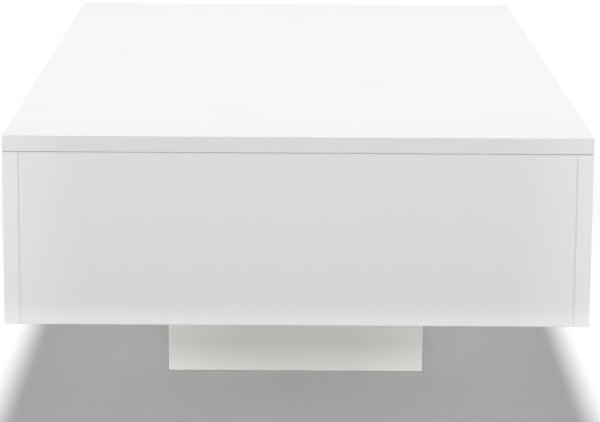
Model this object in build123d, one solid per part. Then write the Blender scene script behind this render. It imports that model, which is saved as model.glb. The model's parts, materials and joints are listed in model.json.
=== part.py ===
from build123d import *
import os
from math import asin, atan2, cos, degrees, radians, sin, sqrt

# A low table whose top is the lid of a storage compartment. The lid lifts and
# moves towards the user on two pairs of parallel arms, and stays level.
# Millimetres. X runs along the table, the user sits on the -Y side, Z is up,
# and the origin is on the floor under the middle of the table.

# Overall sizes
table_length = 1000.0
table_width = 550.0
table_height = 310.0
body_height = 180.0  # lid and compartment together, above the plinth
board = 15.0  # thickness of every panel
arris = 0.8  # rounding along the edges of the panels
lid_gap = 0.25  # how far the bumpers hold the closed lid off the side panels

# Plinth
plinth_length = 360.0
plinth_width = 270.0
block_side = 28.0  # square corner blocks inside the plinth
glide_diameter = 20.0
glide_thickness = 3.0
glide_proud = 0.25  # how far the glides hold the plinth off the floor
nail_diameter = 2.5
nail_length = 14.0

# Finger pull in the top edge of the front side panel
pull_width = 130.0
pull_depth = 24.0
pull_corner = 10.0

# Cam fittings and dowels of the carcass
cam_diameter = 15.0
cam_skin = 2.5  # wood left behind a cam
cam_inset = 24.0  # from the panel's edge to the middle of the cam
cam_bore = 0.1  # a cam's clearance all round
cam_drive_diameter = 5.0
cam_drive_depth = 2.5
cam_slot = 7.4  # opening in the cam for the head of its bolt
bolt_thread_diameter = 5.0
bolt_thread_depth = 11.0
bolt_shank_diameter = 6.0
bolt_bore = 8.0
cap_diameter = 17.0
cap_thickness = 1.0
cap_plug_diameter = 4.8
cap_plug_length = 2.0
end_cam_rise = 40.0  # lower cams of an end panel, above its bottom edge
end_cam_drop = 32.0  # upper cams of an end panel, below its top edge
floor_cam_places = (-320.0, 0.0, 320.0)  # along each long edge of the floor
dowel_diameter = 8.0
dowel_length = 30.0
dowel_in_face = 10.0  # how much of a dowel sits in the panel's face
floor_dowel_places = (-160.0, 160.0)
floor_end_dowel_places = (-120.0, 120.0)

# Screws of the plinth
top_screw_length = 38.0
block_screw_length = 35.0
wood_screw_diameter = 4.0
screw_head_diameter = 8.0
screw_head_height = 2.4
plug_diameter = 12.0  # cover plugs over the screws in the compartment's floor
plug_thickness = 2.0
block_screw_clearance = 12.6  # from the top screw's tip down to the upper block screw

# Bumpers along the top edges of the side panels
bumper_diameter = 8.0
bumper_recess = 1.0  # depth of a bumper's head in the panel's edge
bumper_stem_diameter = 5.0
bumper_stem_length = 6.0
bumper_places = (-440.0, -160.0, 160.0, 440.0)

# Lift mechanism. Angles are measured from +Y towards +Z.
arm_length = 210.0
arm_width = 20.0
arm_thickness = 4.0
boss_radius = 14.0
boss_blend = 10.0
tail_length = 30.0  # rear arm, behind its lower pivot
tail_width = 16.0
pivot_spacing = 50.0  # between the two lower pivots, and between the two upper ones
pivot_slant = 130.5  # direction from the rear arm's pivot to the front arm's
front_pivot_place = -70.0  # Y of the front arm's lower pivot
front_pivot_drop = 39.0  # below the underside of the lid
steepest_closed = 16.0  # the arms hang no lower than this when the lid is closed
floor_clearance = 1.0  # under the lowest boss, when the lid is closed
open_angle = 97.0  # past upright, so that the open lid rests on its stops

plate_thickness = 2.5
plate_corner = 12.0
plate_front = 95.0  # reach of the base plate around the front arm's lower pivot
plate_rear = 90.0
plate_up = 22.0
plate_down = 101.0
plate_screw_inset = 13.0
plate_screw_length = 14.0
layer_gap = 1.5  # between the plates and the arms, filled by the bush flanges
plate_edge = 0.4  # rounding along the cut edges of the arms and plates
flange_play = 0.05  # each side of a bush flange

rail_depth = 18.0
rail_flange = 20.5
rail_front = 80.0  # reach of the lid rail in front of the front arm's pivot
rail_rear = 260.0
rail_bend = 4.0
bracket_thickness = 2.5
rail_screw_places = (0.05, 0.36, 0.66, 0.95)  # shares of the rail's length
rail_screw_length = 12.0
lobe_radius = 13.0  # around the upper pivots
lobe_front = 32.0
lobe_rear = 12.0

pin_diameter = 10.0
pin_spigot = 7.0
pin_running = 0.1  # radial clearance of a pin in its bush
bush_diameter = 13.0
bush_flange = 20.0
pin_end = 2.0  # how far a pin stands out of its arm
rivet_head = 13.0
rivet_height = 2.5
clip_diameter = 16.0
clip_thickness = 1.2
clip_play = 0.1

stud_diameter = 12.0
stud_spigot = 9.0
stud_length = 27.5
tube_outside = 22.0
tube_inside = 18.0
tube_bush_length = 22.0
tube_bush_flange = 24.0

wire = 3.5
coil_radius = 15.0
coil_pitch = 3.8
coil_turns = 8  # whole turns, beyond the part turn between the legs
coil_setback = 8.0  # from the arm's face to the first coil's centre line
spring_pin_place = 34.0  # along the front arm
spring_pin_diameter = 6.0
spring_pin_length = 17.0
spring_pin_spigot = 4.0
post_place = 30.0  # from the front arm's lower pivot
post_angle = 215.0
post_diameter = 8.0
post_spigot = 6.0
post_length = 52.5
leg_seat = 0.1  # between a spring's leg and the pin that it bears on
leg_past_pin = 7.0

stop_place = 27.0  # along the tail
stop_core_diameter = 6.0
stop_spigot = 5.0
stop_sleeve_diameter = 12.0
stop_sleeve_length = 5.4
stop_clearance = 0.3

# Heights of the panels
lid_bottom = table_height - board
body_bottom = table_height - body_height
panel_top = lid_bottom - lid_gap
floor_top = body_bottom + board
board_middle = board / 2

# Faces of the panels
half_length = table_length / 2
half_width = table_width / 2
inner_length = half_length - board
inner_width = half_width - board
plinth_x = plinth_length / 2
plinth_y = plinth_width / 2
block_x = plinth_x - board - block_side / 2
block_y = plinth_y - board - block_side / 2

# Heights of the screws in the plinth's corner blocks
top_screw_seat = floor_top - plug_thickness - screw_head_height
top_screw_tip = top_screw_seat - top_screw_length
nail_tip = glide_thickness + nail_length
upper_block_screw = top_screw_tip - block_screw_clearance
lower_block_screw = (nail_tip + upper_block_screw) / 2

# Layers of the right-hand mechanism, from the end panel inwards
plate_face = inner_length - plate_thickness
arm_outside = plate_face - layer_gap
arm_inside = arm_outside - arm_thickness
web_outside = arm_inside - layer_gap
web_inside = web_outside - bracket_thickness


def polar(angle, radius):
    """Y and Z of a point at an angle and distance from a pivot."""
    return radius * cos(radians(angle)), radius * sin(radians(angle))


def shifted(point, step):
    """A Y and Z point moved by a Y and Z step."""
    return point[0] + step[0], point[1] + step[1]


# Pivots of the mechanism, as Y and Z, with the lid closed
front_pivot = (front_pivot_place, lid_bottom - front_pivot_drop)
pivot_step = polar(pivot_slant + 180, pivot_spacing)
rear_pivot = shifted(front_pivot, pivot_step)
hanging_room = rear_pivot[1] - floor_top - boss_radius - floor_clearance
closed_angle = -min(steepest_closed, degrees(asin(hanging_room / arm_length)))
lift_angle = open_angle - closed_angle
front_top = shifted(front_pivot, polar(closed_angle, arm_length))
rear_top = shifted(rear_pivot, polar(closed_angle, arm_length))


# ---- Shapes used throughout ----


def block_between(low, high):
    """A plain block between two opposite corners."""
    size = [b - a for a, b in zip(low, high)]
    middle = [(a + b) / 2 for a, b in zip(low, high)]
    return Pos(*middle) * Box(*size)


def softened(shape):
    """The shape with every edge rounded like a lacquered board's."""
    return fillet(shape.edges(), arris)


def panel(low, high):
    """A lacquered board between two opposite corners."""
    return softened(block_between(low, high))


def rod(start, end, diameter):
    """A round bar from one point to another."""
    start = Vector(*start)
    run = Vector(*end) - start
    upright = (Align.CENTER, Align.CENTER, Align.MIN)
    bar = Cylinder(diameter / 2, run.length, align=upright)
    return Plane(origin=start, z_dir=run.normalized()) * bar


def cross_rod(pivot, x_start, x_end, diameter):
    """A round bar along X through a Y and Z point."""
    return rod((x_start, *pivot), (x_end, *pivot), diameter)


def deburred(plate, *face_places):
    """A plate across X with the outline of its faces at these X places rounded."""
    outlines = []
    for place in face_places:
        outlines.extend(edge for edge in plate.edges() if abs(edge.center().X - place) < 0.01)
    return fillet(outlines, plate_edge)


def merged(shapes):
    """Shapes added to each other."""
    whole = shapes[0]
    for shape in shapes[1:]:
        whole = whole + shape
    return whole


def without(shape, cutters):
    """A shape with each cutter taken out of it."""
    for cutter in cutters:
        shape = shape - cutter
    return shape


def mirrored(shape):
    """The same piece at the other end of the table."""
    return mirror(shape, about=Plane.YZ)


def both_ends(shapes):
    """Pieces of the right-hand end, and their mirror images."""
    return list(shapes) + [mirrored(shape) for shape in shapes]


def save(name, shapes):
    """Write the solids of one node to its own file."""
    solids = [solid for shape in shapes for solid in shape.solids()]
    whole = solids[0] if len(solids) == 1 else Compound(solids)
    export_step(whole, f"parts/{name}.step")


def screw(start, direction, length):
    """A pan head screw whose head sits on the surface at start."""
    start = Vector(*start)
    direction = Vector(*direction)
    head_top = start - direction * screw_head_height
    head = rod(head_top, start, screw_head_diameter)
    shank = rod(start, start + direction * length, wood_screw_diameter)
    return head + shank


# ---- Carcass joints: cams, bolts and dowels ----
# Each joint is told by the middle of the joint line between an edge and a face,
# the direction from the face into the panel that holds the cam, and the
# direction out of that panel's face where the cam goes in.

cam_depth = board - cam_skin


def cam_centre(joint, inward):
    """Where a cam's axis crosses the middle plane of its panel."""
    return Vector(*joint) + Vector(*inward) * cam_inset


def cam_lock(joint, inward, outward):
    """A cam with a side opening for its bolt and a drive in its face."""
    middle = cam_centre(joint, inward)
    outward = Vector(*outward)
    face = middle + outward * board_middle
    body = rod(face - outward * (cam_depth - cam_bore), face, cam_diameter - 2 * cam_bore)
    opening = rod(middle, middle - Vector(*inward) * cam_diameter, cam_slot)
    drive = rod(face, face - outward * cam_drive_depth, cam_drive_diameter)
    return body - opening - drive


def cam_pocket(joint, inward, outward):
    """The blind bore that takes a cam, and the edge bore that takes its bolt."""
    middle = cam_centre(joint, inward)
    outward = Vector(*outward)
    face = middle + outward * board_middle
    pocket = rod(face - outward * cam_depth, face + outward, cam_diameter)
    return [pocket, rod(Vector(*joint) - Vector(*inward), middle, bolt_bore)]


def cam_bolt(joint, inward):
    """A bolt screwed into one panel's face and reaching into the cam."""
    joint = Vector(*joint)
    inward = Vector(*inward)
    thread = rod(joint - inward * bolt_thread_depth, joint, bolt_thread_diameter)
    return thread + rod(joint, joint + inward * cam_inset, bolt_shank_diameter)


def bolt_hole(joint, inward):
    """The blind hole that a cam bolt's thread is screwed into."""
    joint = Vector(*joint)
    inward = Vector(*inward)
    return rod(joint - inward * bolt_thread_depth, joint + inward, bolt_thread_diameter)


def cam_cap(joint, inward, outward):
    """A cover cap whose plug sits in the cam's drive."""
    outward = Vector(*outward)
    face = cam_centre(joint, inward) + outward * board_middle
    disc = rod(face, face + outward * cap_thickness, cap_diameter)
    rim = disc.edges().sort_by(Axis(face, outward))[-1]
    disc = fillet(rim, cap_thickness * 0.6)
    return disc + rod(face, face - outward * cap_plug_length, cap_plug_diameter)


def dowel(joint, inward):
    """A wooden dowel across a joint."""
    joint = Vector(*joint)
    inward = Vector(*inward)
    start = joint - inward * dowel_in_face
    return rod(start, start + inward * dowel_length, dowel_diameter)


def end_panel_joints():
    """Joint points, cams and dowel, of the right-hand end panel's two edges."""
    x = inner_length + board_middle
    low = body_bottom + end_cam_rise
    high = panel_top - end_cam_drop
    cams = []
    dowels = []
    for side in (-1, 1):
        inward = (0, -side, 0)
        for z in (low, high):
            cams.append(((x, side * inner_width, z), inward, (-1, 0, 0)))
        dowels.append(((x, side * inner_width, (low + high) / 2), inward))
    return cams, dowels


def floor_joints():
    """Joint points, cams and dowels, between the floor and the side panels."""
    z = body_bottom + board_middle
    cams = []
    dowels = []
    for side in (-1, 1):
        inward = (0, -side, 0)
        for x in floor_cam_places:
            cams.append(((x, side * inner_width, z), inward, (0, 0, -1)))
        for x in floor_dowel_places:
            dowels.append(((x, side * inner_width, z), inward))
    return cams, dowels


def floor_end_joints():
    """Dowel joints between the floor and the right-hand end panel."""
    z = body_bottom + board_middle
    return [((inner_length, y, z), (-1, 0, 0)) for y in floor_end_dowel_places]


end_cams, end_dowels = end_panel_joints()
floor_cams, floor_dowels = floor_joints()
floor_end_dowels = floor_end_joints()


# ---- Carcass panels ----


def lid_panel():
    """The top of the table."""
    top = panel((-half_length, -half_width, lid_bottom), (half_length, half_width, table_height))
    holes = []
    for x, y in rail_screw_points():
        end = (x, y, lid_bottom - bracket_thickness + rail_screw_length)
        holes.append(rod((x, y, lid_bottom - 1), end, wood_screw_diameter))
    return without(top, both_ends(holes))


def bumper_points(side):
    """Middle of each bumper on the top edge of one side panel."""
    return [(x, side * (inner_width + board_middle), panel_top) for x in bumper_places]


def finger_pull():
    """The notch in the front side panel's top edge, for the user's fingers."""
    half_pull = pull_width / 2
    notch = block_between(
        (-half_pull, -half_width - 1, panel_top - pull_depth),
        (half_pull, -inner_width + 1, panel_top + pull_depth),
    )
    corners = notch.edges().filter_by(Axis.Y).group_by(Axis.Z)[0]
    return fillet(corners, pull_corner)


def side_panel(side):
    """A long side of the compartment: side is -1 at the front and 1 at the rear."""
    low_y, high_y = sorted((side * inner_width, side * half_width))
    shape = block_between((-half_length, low_y, body_bottom), (half_length, high_y, panel_top))
    if side < 0:
        shape = shape - finger_pull()
    shape = softened(shape)
    holes = []
    for joint, inward, _ in end_cams:
        if inward[1] * side < 0:
            holes.append(bolt_hole(joint, inward))
    for joint, inward in end_dowels:
        if inward[1] * side < 0:
            holes.append(dowel(joint, inward))
    holes = both_ends(holes)
    for joint, inward, _ in floor_cams:
        if inward[1] * side < 0:
            holes.append(bolt_hole(joint, inward))
    for joint, inward in floor_dowels:
        if inward[1] * side < 0:
            holes.append(dowel(joint, inward))
    for x, y, z in bumper_points(side):
        holes.append(rod((x, y, z - bumper_stem_length), (x, y, z + 1), bumper_stem_diameter))
        holes.append(rod((x, y, z - bumper_recess), (x, y, z + 1), bumper_diameter))
    return without(shape, holes)


def end_panel():
    """The right-hand end of the compartment, between the side panels."""
    shape = panel(
        (inner_length, -inner_width, body_bottom),
        (half_length, inner_width, panel_top),
    )
    holes = []
    for joint, inward, outward in end_cams:
        holes.extend(cam_pocket(joint, inward, outward))
    holes.extend(dowel(joint, inward) for joint, inward in end_dowels)
    holes.extend(dowel(joint, inward) for joint, inward in floor_end_dowels)
    for y, z in plate_screw_points():
        start = (inner_length - 1, y, z)
        holes.append(rod(start, (plate_face + plate_screw_length, y, z), wood_screw_diameter))
    return without(shape, holes)


def bottom_panel():
    """The floor of the compartment, which also holds the plinth."""
    shape = panel(
        (-inner_length, -inner_width, body_bottom),
        (inner_length, inner_width, floor_top),
    )
    holes = []
    for joint, inward, outward in floor_cams:
        holes.extend(cam_pocket(joint, inward, outward))
    holes.extend(dowel(joint, inward) for joint, inward in floor_dowels)
    holes.extend(both_ends([dowel(joint, inward) for joint, inward in floor_end_dowels]))
    for x, y in block_points():
        holes.append(rod((x, y, floor_top - plug_thickness), (x, y, floor_top + 1), plug_diameter))
        holes.append(rod((x, y, top_screw_seat), (x, y, floor_top), screw_head_diameter))
        holes.append(rod((x, y, body_bottom - 1), (x, y, floor_top), wood_screw_diameter))
    return without(shape, holes)


# ---- Plinth ----


def block_points():
    """X and Y of the middle of each corner block."""
    return [(sx * block_x, sy * block_y) for sx in (-1, 1) for sy in (-1, 1)]


def plinth_end_panel():
    """The plinth's right-hand board, over the full width."""
    shape = panel(
        (plinth_x - board, -plinth_y, glide_proud),
        (plinth_x, plinth_y, body_bottom),
    )
    holes = []
    for x, y in block_points():
        if x > 0:
            z = upper_block_screw
            tip = x - block_side / 2 + block_screw_length
            holes.append(rod((x, y, z), (tip, y, z), wood_screw_diameter))
    return without(shape, holes)


def plinth_side_panel(side):
    """A long board of the plinth, between its end boards."""
    low_y, high_y = sorted((side * (plinth_y - board), side * plinth_y))
    inner_x = plinth_x - board
    shape = panel((-inner_x, low_y, glide_proud), (inner_x, high_y, body_bottom))
    holes = []
    for x, y in block_points():
        if y * side > 0:
            z = lower_block_screw
            tip = y + side * (block_screw_length - block_side / 2)
            holes.append(rod((x, y, z), (x, tip, z), wood_screw_diameter))
    return without(shape, holes)


def block_screws():
    """Screws through the corner blocks into the plinth's boards."""
    screws = []
    for x, y in block_points():
        along_x = 1 if x > 0 else -1
        along_y = 1 if y > 0 else -1
        x_start = (x - along_x * block_side / 2, y, upper_block_screw)
        y_start = (x, y - along_y * block_side / 2, lower_block_screw)
        screws.append(screw(x_start, (along_x, 0, 0), block_screw_length))
        screws.append(screw(y_start, (0, along_y, 0), block_screw_length))
    return screws


def corner_block(x, y):
    """A square block with the bores for its screws and its glide."""
    half = block_side / 2
    shape = block_between((x - half, y - half, glide_proud), (x + half, y + half, body_bottom))
    upper = upper_block_screw
    lower = lower_block_screw
    holes = [
        rod((x, y, 0), (x, y, glide_thickness), glide_diameter),
        rod((x, y, glide_thickness), (x, y, nail_tip), nail_diameter),
        rod((x - block_side, y, upper), (x + block_side, y, upper), wood_screw_diameter),
        rod((x, y - block_side, lower), (x, y + block_side, lower), wood_screw_diameter),
        rod((x, y, top_screw_tip), (x, y, body_bottom + 1), wood_screw_diameter),
    ]
    return without(shape, holes)


def glide(x, y):
    """A nylon glide with its nail, the only thing that touches the floor."""
    disc = rod((x, y, 0), (x, y, glide_thickness), glide_diameter)
    foot = disc.edges().sort_by(Axis.Z)[0]
    disc = fillet(foot, glide_proud * 0.5)
    return disc + rod((x, y, glide_thickness), (x, y, nail_tip), nail_diameter)


def cover_plug(x, y):
    """A flush plug over a screw in the compartment's floor."""
    return rod((x, y, floor_top - plug_thickness), (x, y, floor_top), plug_diameter)


def bumper(x, y, z):
    """A soft button, sunk in a side panel's top edge, that the closed lid rests on."""
    seat = z - bumper_recess
    head = rod((x, y, seat), (x, y, z + lid_gap), bumper_diameter)
    return head + rod((x, y, z - bumper_stem_length), (x, y, seat), bumper_stem_diameter)


# ---- Lift mechanism, right-hand end ----


def side_plane(x, pivot, angle=0.0):
    """A plane across X at a pivot, with its own X axis at an angle from +Y."""
    along = polar(angle, 1.0)
    return Plane(origin=(x, *pivot), x_dir=(0, *along), z_dir=(1, 0, 0))


def arm_outline(tail):
    """Outline of an arm along +X from its lower pivot, with a tail or without."""
    ends = Circle(boss_radius) + Pos(arm_length, 0) * Circle(boss_radius)
    from_pivot = (Align.MIN, Align.CENTER)
    outline = ends + Rectangle(arm_length, arm_width, align=from_pivot)
    if tail:
        to_pivot = (Align.MAX, Align.CENTER)
        outline = outline + Rectangle(tail_length, tail_width, align=to_pivot)
        outline = outline + Pos(-tail_length, 0) * Circle(tail_width / 2)
    neck = boss_radius * 0.99
    corners = []
    for corner in outline.vertices():
        beside_boss = min(abs(corner.X), abs(corner.X - arm_length)) < neck
        at_neck = abs(corner.X) > arm_width / 4
        if beside_boss and at_neck and abs(corner.Y) < neck:
            corners.append(corner)
    return fillet(corners, boss_blend)


def front_arm():
    """The arm that is welded to the torque tube and pushed by the spring."""
    plane = side_plane(arm_inside, front_pivot, closed_angle)
    blade = extrude(plane * arm_outline(False), arm_thickness, dir=(1, 0, 0))
    blade = deburred(blade, arm_inside, arm_outside)
    holes = [
        cross_rod(front_pivot, arm_inside - 1, arm_outside + 1, tube_inside),
        cross_rod(front_top, arm_inside - 1, arm_outside + 1, bush_diameter),
        cross_rod(spring_pin_point, arm_inside - 1, arm_outside + 1, spring_pin_spigot),
    ]
    return without(blade, holes)


def rear_arm():
    """The arm that keeps the lid level, with the tail that meets the stop."""
    plane = side_plane(arm_inside, rear_pivot, closed_angle)
    blade = extrude(plane * arm_outline(True), arm_thickness, dir=(1, 0, 0))
    blade = deburred(blade, arm_inside, arm_outside)
    holes = [
        cross_rod(rear_pivot, arm_inside - 1, arm_outside + 1, bush_diameter),
        cross_rod(rear_top, arm_inside - 1, arm_outside + 1, bush_diameter),
    ]
    return without(blade, holes)


def pin_bush(pivot, flange_outwards):
    """A flanged nylon bush pressed into an arm, with its flange in the gap beside it."""
    if flange_outwards:
        flange_start = arm_outside
        flange_end = plate_face - 2 * flange_play
    else:
        flange_start = web_outside + 2 * flange_play
        flange_end = arm_inside
    sleeve = cross_rod(pivot, arm_inside, arm_outside, bush_diameter)
    flange = cross_rod(pivot, flange_start, flange_end, bush_flange)
    bore = pin_diameter + 2 * pin_running
    return sleeve + flange - cross_rod(pivot, web_inside, inner_length, bore)


def clip(pivot, x_start):
    """A retaining ring on the end of a pin."""
    ring = cross_rod(pivot, x_start, x_start + clip_thickness, clip_diameter)
    ring = ring - cross_rod(pivot, x_start - 1, x_start + clip_thickness + 1, pin_diameter)
    return ring


def top_pin(pivot):
    """A shoulder rivet in the lid bracket that an arm turns on."""
    head = cross_rod(pivot, web_inside - rivet_height, web_inside, rivet_head)
    crown = head.edges().sort_by(Axis.X)[0]
    head = fillet(crown, rivet_height * 0.6)
    spigot = cross_rod(pivot, web_inside, web_outside, pin_spigot)
    shoulder = cross_rod(pivot, web_outside, arm_outside + pin_end, pin_diameter)
    return head + spigot + shoulder


def rear_stud():
    """The shoulder stud in the base plate that the rear arm turns on."""
    shoulder = cross_rod(rear_pivot, arm_inside - pin_end, plate_face, pin_diameter)
    return shoulder + cross_rod(rear_pivot, plate_face, inner_length, pin_spigot)


def front_stud():
    """The long stud in the base plate that carries the torque tube's bush."""
    shoulder = cross_rod(front_pivot, plate_face - stud_length, plate_face, stud_diameter)
    return shoulder + cross_rod(front_pivot, plate_face, inner_length, stud_spigot)


def tube_bush():
    """The flanged bush in the end of the torque tube."""
    start = arm_outside - tube_bush_length
    sleeve = cross_rod(front_pivot, start, arm_outside, tube_inside)
    flange = cross_rod(front_pivot, arm_outside, plate_face - 2 * flange_play, tube_bush_flange)
    bore = stud_diameter + 2 * pin_running
    return sleeve + flange - cross_rod(front_pivot, start - 1, inner_length, bore)


def torque_tube():
    """The tube that makes the two front arms turn as one."""
    outside = cross_rod(front_pivot, -arm_inside, arm_inside, tube_outside)
    return outside - cross_rod(front_pivot, -arm_inside - 1, arm_inside + 1, tube_inside)


# The spring's legs bear on a pin in the front arm and on a post in the base plate
spring_pin_point = shifted(front_pivot, polar(closed_angle, spring_pin_place))
post_point = shifted(front_pivot, polar(post_angle, post_place))
pin_leg_offset = coil_radius + wire / 2 + leg_seat + spring_pin_diameter / 2
post_leg_offset = coil_radius + wire / 2 + leg_seat + post_diameter / 2
pin_leg_angle = closed_angle - degrees(asin(pin_leg_offset / spring_pin_place))
pin_leg_run = sqrt(spring_pin_place**2 - pin_leg_offset**2)
post_leg_run = sqrt(post_place**2 - post_leg_offset**2)
coil_end_angle = pin_leg_angle + 90
coil_start_angle = post_angle - degrees(atan2(post_leg_run, post_leg_offset))
coil_sweep = coil_start_angle - coil_end_angle + 360 * coil_turns


def spring_pin():
    """The pin in the front arm that the spring pushes on."""
    body = cross_rod(spring_pin_point, arm_inside - spring_pin_length, arm_inside, spring_pin_diameter)
    return body + cross_rod(spring_pin_point, arm_inside, arm_outside, spring_pin_spigot)


def spring_post():
    """The post in the base plate that holds the spring's other leg."""
    body = cross_rod(post_point, plate_face - post_length, plate_face, post_diameter)
    return body + cross_rod(post_point, plate_face, inner_length, post_spigot)


def torsion_spring():
    """The lift spring around the torque tube, with a straight leg at each end."""
    coil_length = coil_pitch * coil_sweep / 360
    helix = Helix(coil_pitch, coil_length, coil_radius, direction=(1, 0, 0), lefthand=True)
    first = helix @ 0
    turn = coil_start_angle - degrees(atan2(first.Z, first.Y))
    coil_start = arm_inside - coil_setback - coil_length
    coil = Pos(coil_start, *front_pivot) * Rot(turn, 0, 0) * helix
    post_leg = Line((coil @ 0) - (coil % 0) * (post_leg_run + leg_past_pin), coil @ 0)
    pin_leg = Line(coil @ 1, (coil @ 1) + (coil % 1) * (pin_leg_run + leg_past_pin))
    lengths = []
    for path in (post_leg, coil, pin_leg):
        section = Plane(origin=path @ 0, z_dir=path % 0) * Circle(wire / 2)
        lengths.append(sweep(section, path=path, is_frenet=path is coil))
    return merged(lengths)


def stop_point():
    """Y and Z of the stop that the rear arm's tail meets when the lid is open."""
    tail_direction = open_angle + 180
    beside = tail_width / 2 + stop_clearance + stop_sleeve_diameter / 2
    along_tail = shifted(rear_pivot, polar(tail_direction, stop_place))
    return shifted(along_tail, polar(tail_direction + 90, beside))


def stop_pin():
    """The core of the stop, riveted into the base plate."""
    body = cross_rod(stop_point(), arm_inside - flange_play, plate_face, stop_core_diameter)
    return body + cross_rod(stop_point(), plate_face, inner_length, stop_spigot)


def stop_sleeve():
    """The rubber sleeve on the stop."""
    end = plate_face - flange_play
    outside = cross_rod(stop_point(), end - stop_sleeve_length, end, stop_sleeve_diameter)
    return outside - cross_rod(stop_point(), arm_inside - 1, plate_face, stop_core_diameter)


def plate_corners():
    """Lowest and highest Y and Z of the base plate."""
    low = shifted(front_pivot, (-plate_front, -plate_down))
    high = shifted(front_pivot, (plate_rear, plate_up))
    return low, high


def plate_screw_points():
    """Y and Z of the screws: up the front edge and along the bottom edge."""
    low, high = plate_corners()
    inset = plate_screw_inset
    front = low[0] + inset
    bottom = low[1] + inset
    rise = (high[1] - inset - bottom) / 2
    reach = (high[0] - inset - front) / 3
    column = [(front, bottom + step * rise) for step in range(3)]
    row = [(front + step * reach, bottom) for step in range(1, 4)]
    return column + row


def base_plate():
    """The plate screwed to the end panel, which carries the lower pivots."""
    low, high = plate_corners()
    middle = ((low[0] + high[0]) / 2, (low[1] + high[1]) / 2)
    outline = RectangleRounded(high[0] - low[0], high[1] - low[1], plate_corner)
    shape = extrude(side_plane(plate_face, middle) * outline, plate_thickness, dir=(1, 0, 0))
    shape = deburred(shape, plate_face)
    bores = [
        (front_pivot, stud_spigot),
        (rear_pivot, pin_spigot),
        (post_point, post_spigot),
        (stop_point(), stop_spigot),
    ]
    bores.extend((point, wood_screw_diameter) for point in plate_screw_points())
    holes = [cross_rod(point, plate_face - 1, inner_length + 1, size) for point, size in bores]
    return without(shape, holes)


def plate_screws():
    """Screws through the base plate into the end panel."""
    screws = []
    for y, z in plate_screw_points():
        screws.append(screw((plate_face, y, z), (1, 0, 0), plate_screw_length))
    return screws


def rail_screw_points():
    """X and Y of the screws through one rail's flange."""
    x = web_outside - rail_flange / 2 - bracket_thickness / 2
    start = front_pivot[0] - rail_front
    length = rail_front + rail_rear
    return [(x, start + share * length) for share in rail_screw_places]


def rail():
    """The angle under the lid: a web beside the arms and a flange against the lid."""
    start = front_pivot[0] - rail_front
    length = rail_front + rail_rear
    low = lid_bottom - rail_depth
    web = block_between(
        (web_inside, start, low),
        (web_outside, start + length, lid_bottom),
    )
    flange = block_between(
        (web_outside - rail_flange, start, lid_bottom - bracket_thickness),
        (web_outside, start + length, lid_bottom),
    )
    angle = web + flange
    outer = angle.edges().filter_by(Axis.Y).sort_by(Axis.X)[-4:]
    outer = outer.sort_by(Axis.Z)[-1]
    angle = fillet(outer, rail_bend)
    inner = [
        edge
        for edge in angle.edges().filter_by(Axis.Y)
        if abs(edge.center().X - web_inside) < 0.01
        and abs(edge.center().Z - (lid_bottom - bracket_thickness)) < 0.01
    ]
    return fillet(inner, rail_bend - bracket_thickness)


def lid_bracket():
    """The rail with the lobe that hangs from it and holds the upper pivots."""
    rail_edge = lid_bottom - rail_depth + lobe_radius / 2
    circles = [
        (front_top, lobe_radius),
        (rear_top, lobe_radius),
        ((front_top[0] - lobe_front, rail_edge), lobe_radius / 2),
        ((rear_top[0] + lobe_rear, rail_edge), lobe_radius / 2),
    ]
    rims = [(Pos(*point) * Circle(radius)).edge() for point, radius in circles]
    outline = make_hull(rims)
    plane = side_plane(web_inside, (0, 0))
    lobe = extrude(plane * outline, bracket_thickness, dir=(1, 0, 0))
    lobe = deburred(lobe, web_inside, web_outside)
    holes = []
    for pivot in (front_top, rear_top):
        holes.append(cross_rod(pivot, web_inside - 1, web_outside + 1, pin_spigot))
    for x, y in rail_screw_points():
        start = (x, y, lid_bottom - bracket_thickness - 1)
        holes.append(rod(start, (x, y, lid_bottom + 1), wood_screw_diameter))
    return without(rail() + lobe, holes)


def rail_screws():
    """Screws through one rail's flange into the lid."""
    z = lid_bottom - bracket_thickness
    return [screw((x, y, z), (0, 0, 1), rail_screw_length) for x, y in rail_screw_points()]


# ---- Nodes ----


def save_carcass():
    """Panels of the compartment with their fittings."""
    save("side_panel_front", [side_panel(-1)])
    save("side_panel_rear", [side_panel(1)])
    right_end = end_panel()
    save("end_panel_right", [right_end])
    save("end_panel_left", [mirrored(right_end)])
    save("bottom_panel", [bottom_panel()])
    locks = both_ends([cam_lock(*joint) for joint in end_cams])
    locks.extend(cam_lock(*joint) for joint in floor_cams)
    save("cam_locks", locks)
    bolts = both_ends([cam_bolt(*joint[:2]) for joint in end_cams])
    bolts.extend(cam_bolt(*joint[:2]) for joint in floor_cams)
    save("cam_bolts", bolts)
    caps = both_ends([cam_cap(*joint) for joint in end_cams])
    caps.extend(cam_cap(*joint) for joint in floor_cams)
    save("cam_cover_caps", caps)
    pegs = both_ends([dowel(*joint) for joint in end_dowels + floor_end_dowels])
    pegs.extend(dowel(*joint) for joint in floor_dowels)
    save("dowels", pegs)
    points = bumper_points(-1) + bumper_points(1)
    save("lid_bumpers", [bumper(*point) for point in points])


def save_plinth():
    """The plinth under the compartment."""
    right_end = plinth_end_panel()
    save("plinth_panel_right", [right_end])
    save("plinth_panel_left", [mirrored(right_end)])
    save("plinth_panel_front", [plinth_side_panel(-1)])
    save("plinth_panel_rear", [plinth_side_panel(1)])
    save("plinth_corner_blocks", [corner_block(x, y) for x, y in block_points()])
    save("plinth_block_screws", block_screws())
    points = [(x, y, top_screw_seat) for x, y in block_points()]
    tops = [screw(point, (0, 0, -1), top_screw_length) for point in points]
    save("plinth_top_screws", tops)
    save("floor_cover_plugs", [cover_plug(x, y) for x, y in block_points()])
    save("floor_glides", [glide(x, y) for x, y in block_points()])


def save_handed(name, shape):
    """A mechanism piece as one node at each end."""
    save(f"{name}_right", [shape])
    save(f"{name}_left", [mirrored(shape)])


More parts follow.
